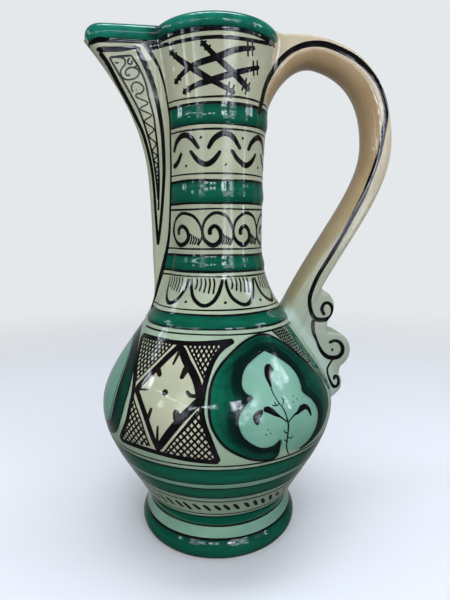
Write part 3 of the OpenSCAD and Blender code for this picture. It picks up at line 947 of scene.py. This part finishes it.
brownPaint, greenPaint = ([], []), ([], [])
bodyGround = roundGround(castTree(footRoll, bellyBowl, bellyCrown, neckTube, beakPiece))
bellyLines = painted("belly_lines", paintBelly, brownPaint, greenPaint, bodyGround)
neckLines = painted("neck_lines", paintNeck, bodyGround)
footLines = painted("foot_lines", paintFoot, bodyGround)
flankLines = painted("flank_lines", paintFlanks, castTree(beakPiece), castTree(beakPiece, rolledRim),
                     castTree(handleStrap, neckTube))
brownLines = layPaint("brown_touches", brownPaint)
greenLines = layPaint("green_lines", greenPaint)
for piece in (bellyLines, neckLines, footLines, flankLines, brownLines, greenLines):
    print(piece.name, len(piece.data.polygons), "faces")
print("brushwork laid")


# glaze washes, kept on each clay piece as a colour attribute: green, depth of the green, pale green


washes = dict(
    edge=0.22, clearFrom=141, clearEdge=0.8, pooled=1.6, poolEdge=0.5, crease=306.4, creaseEdge=0.4,
    # painted shade near the floor: the band round the foot roll gets the deepest green, and the foot below its top gets
    # a green tint that darkens it
    bandDepth=((0, 0.4), (15, 0.12), (140, 0.12), (145, 0.28)),  # height, how deep the green of a band is
    footShade=0.14, footTop=19,
    pale=((0, 1), (12, 0.85), (20, 0.85), (27, 0.8), (29, 0.55), (43, 0.5), (46, 0.7), (57, 0.9), (62, 0.9), (72, 0.55),
          (80, 0.55), (130, 0.5), (141, 0.5), (152, 0.3), (170, 0.25), (200, 0.15), (310, 0.05)),
    panelLow=68, panelHigh=146, palmetteReach=55, lozengeReach=45,  # mm and degrees
    inside=0.1, skin=1.5,  # pale green of the inner wall, and how deep the outer skin goes in mm
)
# painted shade along the underside of the rim, deepest at its lowest edge
rimWash = dict(pinch=(-36, 18, 311), pinchSize=6, under=311.5, underDepth=0.55, low=308.9)
strapWash = dict(
    inner=(-0.3, 2.2), tail=(1.5, 1.75), tailEdge=(5, 0), down=(110, 270), near=(0, 12), nearTop=(138, 172),
)


def softStep(x, half):
    return np.clip(0.5 + x / (2 * half), 0, 1)


def panelArea(a, z, middle, side, reach):
    # which points are near a panel, with their degrees from its middle and their heights
    local = side * ((a - middle + 180) % 360 - 180)
    near = (np.abs(local) < reach) & (z > washes["panelLow"]) & (z < washes["panelHigh"])
    return near, local[near], z[near]


def washOf(a, z):
    w = washes
    green, deep = np.zeros(a.shape), np.zeros(a.shape)
    # the strip beside the beak stays pale
    clear = np.where(z > w["clearFrom"], softStep(edgeAt(z) - np.abs(a), w["clearEdge"]), 1)
    for low, high in greenBands:
        band = softStep(z - low, w["edge"]) * softStep(high - z, w["edge"])
        green = np.maximum(green, band * clear)
        edge = np.exp(-np.maximum(0, np.minimum(z - low, high - z)) / w["pooled"])
        deep = np.maximum(deep, band * (np.interp(low, *zip(*w["bandDepth"])) + w["poolEdge"] * edge))
    top = clear * softStep(z - w["crease"], w["creaseEdge"])  # the dark line under the rim runs into the crease
    green, deep = np.maximum(green, top), np.maximum(deep, top)
    # painted shade: a green tint that darkens the foot
    green = np.maximum(green, w["footShade"] * softStep(w["footTop"] - z, 3))
    pale = np.interp(z, *zip(*w["pale"]))
    shapes = [(middle, side, palmette["outer"], palmette["inner"]) for middle, side in palmetteSpots]
    shapes.append((beakPanel["middle"], 1, bothHalves(beakPanel["outer"]), bothHalves(beakPanel["inner"])))
    for middle, side, outer, inner in shapes:
        near, x, h = panelArea(a, z, middle, side, w["palmetteReach"])
        inRing = insideDistance(x, h, outlineOf(outer, inner[::-1]))
        inHeart = insideDistance(x, h, outlineOf(inner))
        green[near] = np.maximum(green[near], softStep(inRing + 0.6, 0.5))
        # the green is deepest round the heart, then high up and at one side
        pool = np.exp(-(np.maximum(0, -inHeart) / 7.2) ** 1.5) * (0.8 + 0.25 * np.clip(-x / 25, -1, 1))
        pool += 0.2 + 0.2 * np.clip((h - 110) / 16, 0, 1) + 0.3 * np.clip(x / 18, 0, 1)
        pool += 0.09 * np.sin(inRing * 1.5 + 2 * np.sin(x / 8))  # the brush went round the heart
        deep[near] = np.maximum(deep[near], np.clip(pool, 0, 1) * (inRing > -1))
        pale[near] = np.maximum(pale[near], softStep(inHeart + 0.6, 0.6))
        if middle == beakPanel["middle"]:
            green[near] = np.maximum(green[near], 0.22 * softStep(inHeart, 0.6))
    panel = outlineOf(lozenge["top"], lozenge["right"], lozenge["bottom"][::-1], lozenge["left"][::-1])
    for middle, side in lozengeSpots:
        near, x, h = panelArea(a, z, middle, side, w["lozengeReach"])
        pale[near] *= 1 - 0.85 * softStep(insideDistance(x, h, panel), 0.6)
    border = collar["border"][::-1]
    collarSide = np.interp(z, [p[1] for p in border], [-p[0] for p in border])
    wiped = softStep((collarSide - np.abs(a)) * 1.1, 1.5) * (z < 142) * (z > 80)
    return green, deep, np.maximum(pale, 0.5 * wiped)


def vertexPlaces(piece):
    at = np.empty(len(piece.data.vertices) * 3)
    piece.data.vertices.foreach_get("co", at)
    return at.reshape(-1, 3).T / mm


def keepWash(piece, red, green, blue):
    wash = np.stack([red, green, blue, np.ones(len(red))], axis=1)
    layer = piece.data.color_attributes.new("wash", "FLOAT_COLOR", "POINT")
    layer.data.foreach_set("color", wash.ravel())


def washPiece(piece):
    x, y, z = vertexPlaces(piece)
    green, deep, pale = washOf(np.degrees(np.arctan2(y, x)), z)
    outside = np.hypot(x, y) > np.array([wallAt(h) for h in z]) - washes["skin"]  # inner wall stays plain
    keepWash(piece, green * outside, deep * outside, np.where(outside, pale, washes["inside"]))


def washHandle():
    # red: the warm inner face, green: how far down the strap, blue: close to the body, where the pale
    # wash round the tail is lightened and blued as a painted sheen
    w = strapWash
    samples = steps(0, 2, 160)
    path = np.array([tuple(strapAt(q)) for q in samples])
    turns = np.array([tuple(strapTurn(q)) for q in samples])
    rows = []
    for x, y, z in zip(*vertexPlaces(handleStrap)):
        k = int(np.argmin((path[:, 0] - x) ** 2 + (path[:, 1] - z) ** 2))
        out = (x - path[k, 0]) * -turns[k, 1] + (z - path[k, 1]) * turns[k, 0]
        inner = strapArris(samples[k]) - out
        warm = easeIn(*w["inner"], inner) * (1 - easeIn(*w["tail"], samples[k]) * easeIn(*w["tailEdge"], inner))
        near = 1 - easeIn(*w["near"], math.hypot(x, y) - plainRadius(onSlope(z)))
        rows.append((warm, 1 - easeIn(*w["down"], z), near * (1 - easeIn(*w["nearTop"], z))))
    keepWash(handleStrap, *np.array(rows).T)


def washRim():
    # red: glaze pooled dark in the two pinches where the lip meets the rim, and painted shade along
    # the underside, fully dark where the roll meets the neck
    w = rimWash
    x, y, z = vertexPlaces(rolledRim)
    px, py, pz = w["pinch"]
    away = np.sqrt((x - px) ** 2 + (np.abs(y) - py) ** 2 + (z - pz) ** 2)
    under = np.maximum(w["underDepth"] * np.clip((w["under"] - z) / 4, 0, 1), np.clip((w["low"] - z) / 0.5, 0, 1))
    none = np.zeros(len(x))
    keepWash(rolledRim, np.maximum(np.exp(-(away / w["pinchSize"]) ** 2), under), none, none)


for piece in (footRoll, bellyBowl, bellyCrown, neckTube, beakPiece):
    washPiece(piece)
washHandle()
washRim()
print("washes painted")


# materials


def linear(code):
    # sRGB hex to a linear colour
    parts = [int(code[i:i + 2], 16) / 255 for i in (1, 3, 5)]
    return [p / 12.92 if p <= 0.04045 else ((p + 0.055) / 1.055) ** 2.4 for p in parts] + [1]


def addNode(material, kind, links=None, **settings):
    made = material.node_tree.nodes.new("ShaderNode" + kind)
    for key, value in settings.items():
        setattr(made, key, value)
    for socket, value in (links or {}).items():
        if isinstance(value, bpy.types.NodeSocket):
            material.node_tree.links.new(value, made.inputs[socket])
        else:
            made.inputs[socket].default_value = value
    return made


def newMaterial(name, roughness, ior):
    made = bpy.data.materials.new(name)
    made.use_nodes = True
    shader = made.node_tree.nodes["Principled BSDF"]
    shader.inputs["Roughness"].default_value = roughness
    shader.inputs["IOR"].default_value = ior
    return made, shader


def mixed(material, amount, first, second, blend="MIX"):
    # two colours mixed by an amount; hex codes or sockets
    first, second = (linear(c) if isinstance(c, str) else c for c in (first, second))
    made = addNode(material, "Mix", {0: amount, 6: first, 7: second}, data_type="RGBA", blend_type=blend)
    return made.outputs[2]


glaze = dict(
    roughness=0.08, ior=1.52, ripple=0.26, rimRipple=0.4,
    rings=0.028, ringDepth=0.0009, peel=0.0035, peelDepth=0.0003, peelStrength=0.06,  # sizes in m
    wander=(0.035, 0.08),  # roughness from the glassiest to the dullest spot
)


def startGlaze(name):
    made, shader = newMaterial(name, glaze["roughness"], glaze["ior"])
    return made, shader, addNode(made, "TexCoord").outputs["Object"]


def washOn(material):
    kept = addNode(material, "Attribute", attribute_name="wash").outputs["Color"]
    return addNode(material, "SeparateColor", {0: kept}).outputs


def noise(material, where, size, detail):
    return addNode(material, "TexNoise", {"Vector": where, "Scale": 1 / size, "Detail": detail}).outputs[0]


def patches(material, where, size, detail, low, high):
    # cloudy spots of a size in m
    return addNode(material, "MapRange", {0: noise(material, where, size, detail), 1: low, 2: high}).outputs[0]


def stretched(material, where, tall):
    return addNode(material, "Mapping", {"Vector": where, "Scale": (1, 1, tall)}).outputs[0]


def glazeSurface(material, shader, where, colour, ripple):
    # glassy skin: slow ripples from throwing, a fine orange peel, roughness that wanders a little
    g = glaze
    material.node_tree.links.new(colour, shader.inputs["Base Color"])
    rings = noise(material, stretched(material, where, 3.2), g["rings"], 1.5)
    peel = noise(material, where, g["peel"], 2)
    low = addNode(material, "Bump", {"Height": rings, "Strength": ripple, "Distance": g["ringDepth"]})
    fine = addNode(material, "Bump", {"Height": peel, "Normal": low.outputs[0], "Strength": g["peelStrength"],
                                      "Distance": g["peelDepth"]})
    material.node_tree.links.new(fine.outputs[0], shader.inputs["Normal"])
    glassy, dull = g["wander"]
    rough = addNode(material, "MapRange", {0: peel, 1: 0.3, 2: 0.7, 3: glassy, 4: dull})
    material.node_tree.links.new(rough.outputs[0], shader.inputs["Roughness"])
    return material


def paintedGlaze():
    # thick tin-white glaze fired glossy, copper green washes brushed on it on the wheel, so the green
    # streaks along the turn and pools darker at its edges; round the foot its depth is painted shade
    made, shader, where = startGlaze("tin_glaze_painted")
    brushed, depth, tint = list(washOn(made))[:3]
    spot = patches(made, where, 0.032, 3, 0.34, 0.66)
    run = patches(made, stretched(made, where, 7), 0.016, 4, 0.3, 0.7)
    cream = mixed(made, spot, "#bfbda1", "#adaf94")
    pale = mixed(made, spot, "#82b09c", "#70a18e")
    ground = mixed(made, tint, cream, pale)
    green = mixed(made, depth, mixed(made, run, "#095d45", "#0f7258"), "#011b17")
    return glazeSurface(made, shader, where, mixed(made, brushed, ground, green), glaze["ripple"])


def rimGlaze():
    # copper green run thick over the rolled edge, lighter where it drew back, dark where it pooled in
    # the pinches, and painted shade along the underside
    made, shader, where = startGlaze("copper_green_rim")
    skin = mixed(made, patches(made, where, 0.014, 4, 0.32, 0.68), "#1e836c", "#0e614e")
    return glazeSurface(made, shader, where, mixed(made, washOn(made)[0], skin, "#03211b"), glaze["rimRipple"])


def strapGlaze():
    # the same tin glaze, tan and darker on the inner face of the strap
    made, shader, where = startGlaze("tin_glaze_strap")
    warm, down, near = list(washOn(made))[:3]
    spot = patches(made, where, 0.026, 3, 0.32, 0.68)
    back = mixed(made, down, mixed(made, spot, "#d0c2a6", "#c0b296"), "#9fac9a")
    face = mixed(made, down, mixed(made, spot, "#b99e7a", "#a58b67"), "#949374")
    skin = mixed(made, warm, back, face)
    # close to the body the strap turns a light bluish pale green: the pale wash round the tail, lightened and blued as
    # a painted sheen
    return glazeSurface(made, shader, where, mixed(made, near, skin, "#b2c8bb"), glaze["ripple"])


def pigment(name, thick, thin, size):
    # metal oxide brushed under the glaze: near black where thick, brownish where the brush ran dry
    made, shader, where = startGlaze(name)
    dry = patches(made, where, size, 3, 0.52, 0.78)
    return glazeSurface(made, shader, where, mixed(made, dry, thick, thin), glaze["ripple"])


def bareClay():
    # buff clay wiped clean of glaze under the foot: dry and finely gritty
    made, shader = newMaterial("bare_buff_clay", 0.85, 1.5)
    grit = noise(made, addNode(made, "TexCoord").outputs["Object"], 0.0012, 3)
    made.node_tree.links.new(mixed(made, grit, "#b08d6a", "#8f6d4f"), shader.inputs["Base Color"])
    rough = addNode(made, "Bump", {"Height": grit, "Strength": 0.4, "Distance": 0.0004})
    made.node_tree.links.new(rough.outputs[0], shader.inputs["Normal"])
    return made


bodyGlaze = paintedGlaze()
clay = bareClay()
blackOxide = pigment("manganese_black", "#0b0a0d", "#221c22", 0.012)
finish = (
    (footRoll, bodyGlaze, "foot_glaze", ("foot_ring",)),
    (bellyBowl, bodyGlaze, "body_glaze", ("lower_bowl",)),
    (bellyCrown, bodyGlaze, "body_glaze", ("shoulder",)),
    (neckTube, bodyGlaze, "body_glaze", ("neck",)),
    (beakPiece, bodyGlaze, "body_glaze", ("spout",)),
    (rolledRim, rimGlaze(), "green_glaze", ("rim_coil", "lip_coil")),
    (handleStrap, strapGlaze(), "handle_glaze", ("handle", "handle_scroll")),
    (bellyLines, blackOxide, "body_glaze", ()),
    (neckLines, blackOxide, "body_glaze", ()),
    (footLines, blackOxide, "foot_glaze", ()),
    (flankLines, blackOxide, "handle_glaze", ()),
    (brownLines, pigment("iron_brown", "#1d150f", "#3b2a1b", 0.008), "body_glaze", ()),
    (greenLines, pigment("copper_green_line", "#0a5f49", "#0f7a5c", 0.01), "green_glaze", ()),
)
for piece, material, slot, nodes in finish:
    piece.data.materials.clear()
    piece.data.materials.append(material)
    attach(piece, "root")
    if nodes:
        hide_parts(*nodes)


def wipeClean(piece, bare):
    # bare clay where no glaze was left
    piece.data.materials.append(clay)
    for face in piece.data.polygons:
        if bare(*(face.center / mm)):
            face.material_index = 1


wipeClean(footRoll, lambda x, y, z: z < 0.6 or math.hypot(x, y) < thrown["hollow"] + 1.5)
wipeClean(bellyBowl, lambda x, y, z: z < thrown["footHeight"] + 0.01)
print("materials set")


# stage, light and camera

stage = dict(
    floor="#e9ebf0", floorSize=2.5, floorFade=(0.3, 0.95), backdrop="#e4e8ea", room="#f2f4f7", front=0.07, behind=0.42,
    turn=(0.4, 0.95), aim=(0, 0, 0.18),
)
daylight = dict(colour="#e8f1ff", shade=(0.36, 0.62), glow=(0.1, 1.2), sides=(0.5, 0.28))
# azimuth in degrees, distance from the axis, height, width and tallness in m, glow, and the size of its
# patches in m, where 0 is an even fill that the glaze doesn't mirror
lights = dict(
    paneLeft=(-102, 0.55, 0.376, 0.17, 0.04, 13, 0.05), paneRight=(-77, 0.55, 0.385, 0.13, 0.11, 16, 0.05),
    paneSoft=(-59, 0.55, 0.39, 0.16, 0.11, 7, 0.05), haze=(-79, 0.56, 0.3, 0.4, 0.09, 0.4, 0.06),
    farPane=(-150, 0.6, 0.33, 0.08, 0.07, 5, 0.05), nearPane=(-131, 0.6, 0.33, 0.08, 0.07, 3, 0.05),
    slit=(-27, 0.6, 0.27, 0.04, 0.16, 12, 0.08), sky=(-36, 0.6, 0.31, 0.22, 0.16, 0.7, 0.06),
    veil=(-67, 0.58, 0.25, 0.3, 0.24, 5, 0.07), warmVeil=(-128, 0.58, 0.34, 0.2, 0.4, 2, 0.06),
    cloud=(-20, 0.58, 0.45, 0.24, 0.18, 8, 0.07),
    shelfLeft=(-143, 0.6, 0.42, 0.55, 0.014, 12, 0.05), shelfMiddle=(-118, 0.6, 0.375, 0.14, 0.04, 8, 0.05),
    left=(-175, 0.6, 0.402, 0.14, 0.1, 11, 0.06), leftHigh=(170, 0.6, 0.55, 0.16, 0.14, 6, 0.06),
    tailPane=(-68, 0.6, 0.016, 0.12, 0.02, 3, 0.05), roof=(-90, 0.02, 1.2, 1, 0.34, 12, 0.09),
    ceiling=(0, 0.02, 1.45, 2.2, 2.2, 0.42, 0), frontFill=(-80, 1, 1, 1.5, 0.95, 0.96, 0),
    bounce=(-98, 0.8, 0.12, 1.5, 0.3, 1.4, 0), leftFill=(-132, 1, 0.22, 0.8, 0.6, 1, 0),
    backLeft=(140, 1.1, 0.83, 1.2, 1.2, 0.6, 0), backRight=(50, 1.1, 0.83, 1.2, 1.2, 0.85, 0),
)


def smoothFade(tree, amount, low, high):
    return addNode(tree, "MapRange", {0: amount, 1: low, 2: high}, interpolation_type="SMOOTHSTEP").outputs[0]


def breakUp(lamp, patch):
    # daylight through leaves: a pane glows in patches and fades out at its sides
    lamp.use_nodes = True
    across = addNode(lamp, "NewGeometry").outputs["Parametric"]
    grown = addNode(lamp, "Mapping", {"Vector": across, "Location": (lamp.size * 37, lamp.size_y * 53, 0),
                                      "Scale": (lamp.size / patch, lamp.size_y / patch, 1)})
    leaves = addNode(lamp, "TexNoise", {"Vector": grown.outputs[0], "Scale": 1, "Detail": 2}).outputs[0]
    d = daylight
    span = dict(enumerate((*d["shade"], *d["glow"]), 1))
    glow = addNode(lamp, "MapRange", {0: leaves, **span}).outputs[0]
    off = addNode(lamp, "VectorMath", {0: across, 1: (0.5, 0.5, 0)}, operation="SUBTRACT").outputs[0]
    sides = addNode(lamp, "SeparateXYZ", {0: addNode(lamp, "VectorMath", {0: off}, operation="ABSOLUTE").outputs[0]})
    for side in ("X", "Y"):
        glow = addNode(lamp, "Math", {0: glow, 1: smoothFade(lamp, sides.outputs[side], *d["sides"])},
                       operation="MULTIPLY").outputs[0]
    lamp.node_tree.links.new(glow, lamp.node_tree.nodes["Emission"].inputs["Strength"])


def softbox(name, azimuth, far, height, wide, tall, glow, patch):
    a = math.radians(azimuth)
    lamp = bpy.data.lights.new(name, "AREA")
    lamp.shape = "RECTANGLE"
    lamp.size, lamp.size_y = wide, tall
    lamp.energy = glow * math.pi * wide * tall
    if patch:
        lamp.color = linear(daylight["colour"])[:3]
        breakUp(lamp, patch)
    holder = bpy.data.objects.new(name, lamp)
    bpy.context.scene.collection.objects.link(holder)
    holder.location = (math.cos(a) * far, math.sin(a) * far, height)
    holder.rotation_euler = (Vector(stage["aim"]) - holder.location).to_track_quat("-Z", "Y").to_euler()
    holder.visible_glossy = patch > 0
    holder.visible_camera = False


deselectAll()
bpy.ops.mesh.primitive_circle_add(vertices=96, radius=stage["floorSize"], fill_type="NGON")
floor = bpy.context.object
floor.name = "floor"
paper, shader = newMaterial("pale_floor", 0.9, 1.45)
shader.inputs["Base Color"].default_value = linear(stage["floor"])
reach = addNode(paper, "VectorMath", {0: addNode(paper, "TexCoord").outputs["Object"]}, operation="LENGTH")
fade = smoothFade(paper, reach.outputs["Value"], *stage["floorFade"])
clearAir = addNode(paper, "BsdfTransparent")
joined = addNode(paper, "MixShader", {0: fade, 1: shader.outputs[0], 2: clearAir.outputs[0]})
paper.node_tree.links.new(joined.outputs[0], paper.node_tree.nodes["Material Output"].inputs["Surface"])
floor.data.materials.append(paper)  # the floor fades into the backdrop, so there is no horizon
floor.visible_glossy = False
floor.visible_diffuse = False

world = bpy.data.worlds.new("studio")
bpy.context.scene.world = world
world.use_nodes = True
room = world.node_tree.nodes["Background"]  # dim in front, so the glaze keeps its colour, and light behind
way = addNode(world, "SeparateXYZ", {0: addNode(world, "TexCoord").outputs["Generated"]}).outputs["Y"]
near, far = stage["turn"]
level = addNode(world, "MapRange", {0: way, 1: near, 2: far, 3: stage["front"], 4: stage["behind"]})
world.node_tree.links.new(level.outputs[0], room.inputs["Strength"])
room.inputs["Color"].default_value = linear(stage["room"])
sheet = addNode(world, "Background", {"Color": linear(stage["backdrop"]), "Strength": 1})
seenRays = addNode(world, "LightPath").outputs["Is Camera Ray"]
both = addNode(world, "MixShader", {0: seenRays, 1: room.outputs[0], 2: sheet.outputs[0]})
world.node_tree.links.new(both.outputs[0], world.node_tree.nodes["World Output"].inputs["Surface"])
for name, light in lights.items():
    softbox(name, *light)
bpy.context.scene.view_settings.view_transform = "Standard"

shot = dict(place=(-26.1, -298.9, 199), yaw=6.034, pitch=8.747, roll=0.306, lens=27, sensor=36)
lens = bpy.data.cameras.new("camera")
lens.lens = shot["lens"]
lens.sensor_width = shot["sensor"]
lens.clip_start = 0.01
camera = bpy.data.objects.new("camera", lens)
bpy.context.scene.collection.objects.link(camera)
yaw, pitch, roll = (math.radians(shot[k]) for k in ("yaw", "pitch", "roll"))
turned = Matrix.Rotation(-yaw, 3, "Z") @ Matrix.Rotation(math.pi / 2 - pitch, 3, "X")
turned = turned @ Matrix.Rotation(-roll, 3, "Z")
camera.rotation_euler = turned.to_euler()
camera.location = [v * mm for v in shot["place"]]
bpy.context.scene.camera = camera

print("scene ready")
